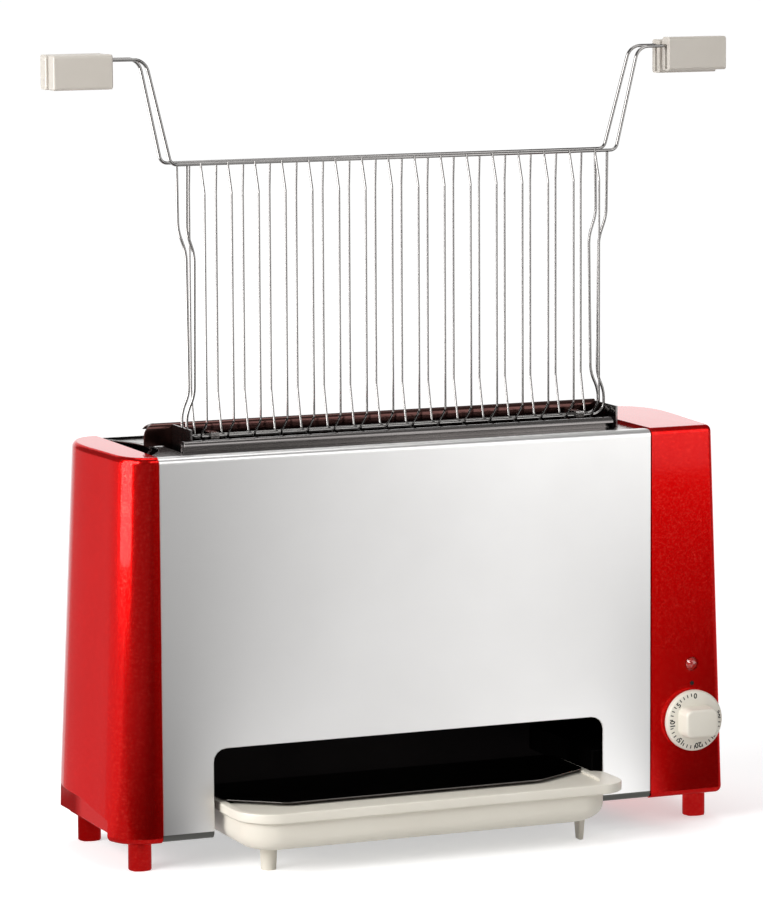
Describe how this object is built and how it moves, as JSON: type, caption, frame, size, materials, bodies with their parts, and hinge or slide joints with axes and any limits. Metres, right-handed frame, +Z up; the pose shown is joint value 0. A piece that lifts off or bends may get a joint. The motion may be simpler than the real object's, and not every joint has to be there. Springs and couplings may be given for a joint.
{
  "type": "upright electric grill",
  "caption": "Upright electric grill: a two-leaf wire basket drops into a slot between two heaters, over a drip tray, with a timer knob on the right end cap",
  "frame": {"origin": "on the table, under the middle of the whole object's box, with the basket raised and the tray partly out", "axes": "+X along the body to the right-hand end seen from the front, +Y to the rear, +Z up"},
  "size_m": [0.448, 0.173, 0.4913],
  "materials": {
    "satin_steel": "satin",
    "bright_steel": "polished",
    "dark_steel": "dull",
    "heater_steel": "oxidised",
    "red_plastic": "glossy with a fine metallic fleck",
    "cream_plastic": "satin",
    "black_plastic": "matte",
    "white_ceramic": "matte",
    "bell_brass": "bright",
    "red_lens": "clear red",
    "lamp_glass": "clear"
  },
  "bodies": {
    "housing": {"front_panel": "satin_steel", "rear_panel": "satin_steel", "rear_screw_1": "bright_steel", "rear_screw_2": "bright_steel", "rear_screw_3": "bright_steel", "rear_screw_4": "bright_steel", "top_plate": "satin_steel", "front_lip": "bright_steel", "rear_lip": "bright_steel", "slot_end_left": "dark_steel", "slot_end_right": "dark_steel", "left_end_cap": "red_plastic", "right_end_cap": "red_plastic", "left_side_plate": "dark_steel", "right_side_plate": "dark_steel", "front_reflector": "dark_steel", "rear_reflector": "dark_steel", "front_heater": "heater_steel", "rear_heater": "heater_steel", "ceramic_bush_1": "white_ceramic", "ceramic_bush_2": "white_ceramic", "ceramic_bush_3": "white_ceramic", "ceramic_bush_4": "white_ceramic", "front_heater_standoff": "dark_steel", "rear_heater_standoff": "dark_steel", "front_guard": "bright_steel", "rear_guard": "bright_steel", "rear_cross_rail": "dark_steel", "tray_guide_left": "dark_steel", "tray_guide_right": "dark_steel", "timer_works": "black_plastic", "timer_bell": "bell_brass", "pilot_lens": "red_lens", "pilot_lamp": "lamp_glass", "terminal_block": "white_ceramic", "thermal_cutout": "black_plastic", "cord_gland": "black_plastic"},
    "basket_front": {"front_basket_frame": "bright_steel", "front_basket_grid": "bright_steel", "front_left_grip": "cream_plastic", "front_right_grip": "cream_plastic", "hinge_clip_left": "bright_steel", "hinge_clip_right": "bright_steel"},
    "basket_rear": {"rear_basket_frame": "bright_steel", "rear_basket_grid": "bright_steel", "rear_left_grip": "cream_plastic", "rear_right_grip": "cream_plastic"},
    "tray": {"drip_tray": "cream_plastic", "drip_plate": "dark_steel"},
    "timer_dial": {"timer_knob": "cream_plastic", "timer_shaft": "bright_steel"},
    "hammer": {"bell_hammer": "bright_steel"}
  },
  "joints": [
    {"name": "basket_lift", "type": "slide", "parent": "housing", "child": "basket_front", "axis": [0, 0, 1], "range_m": [-0.158, 0]},
    {"name": "basket_open", "type": "hinge", "parent": "basket_front", "child": "basket_rear", "pos_m": [0, 0.01375, 0.2575], "axis": [-1, 0, 0], "range_deg": [0, 34]},
    {"name": "tray_slide", "type": "slide", "parent": "housing", "child": "tray", "axis": [0, -1, 0], "range_m": [-0.043, 0.035]},
    {"name": "timer_turn", "type": "hinge", "parent": "housing", "child": "timer_dial", "pos_m": [0.1792, -0.047, 0.0667], "axis": [0, 1, 0], "range_deg": [0, 282]},
    {"name": "hammer_swing", "type": "hinge", "parent": "housing", "child": "hammer", "pos_m": [0.1652, -0.0148, 0.0527], "axis": [0, 1, 0], "range_deg": [-14, 5], "stiffness_Nm_per_rad": 0.004}
  ]
}
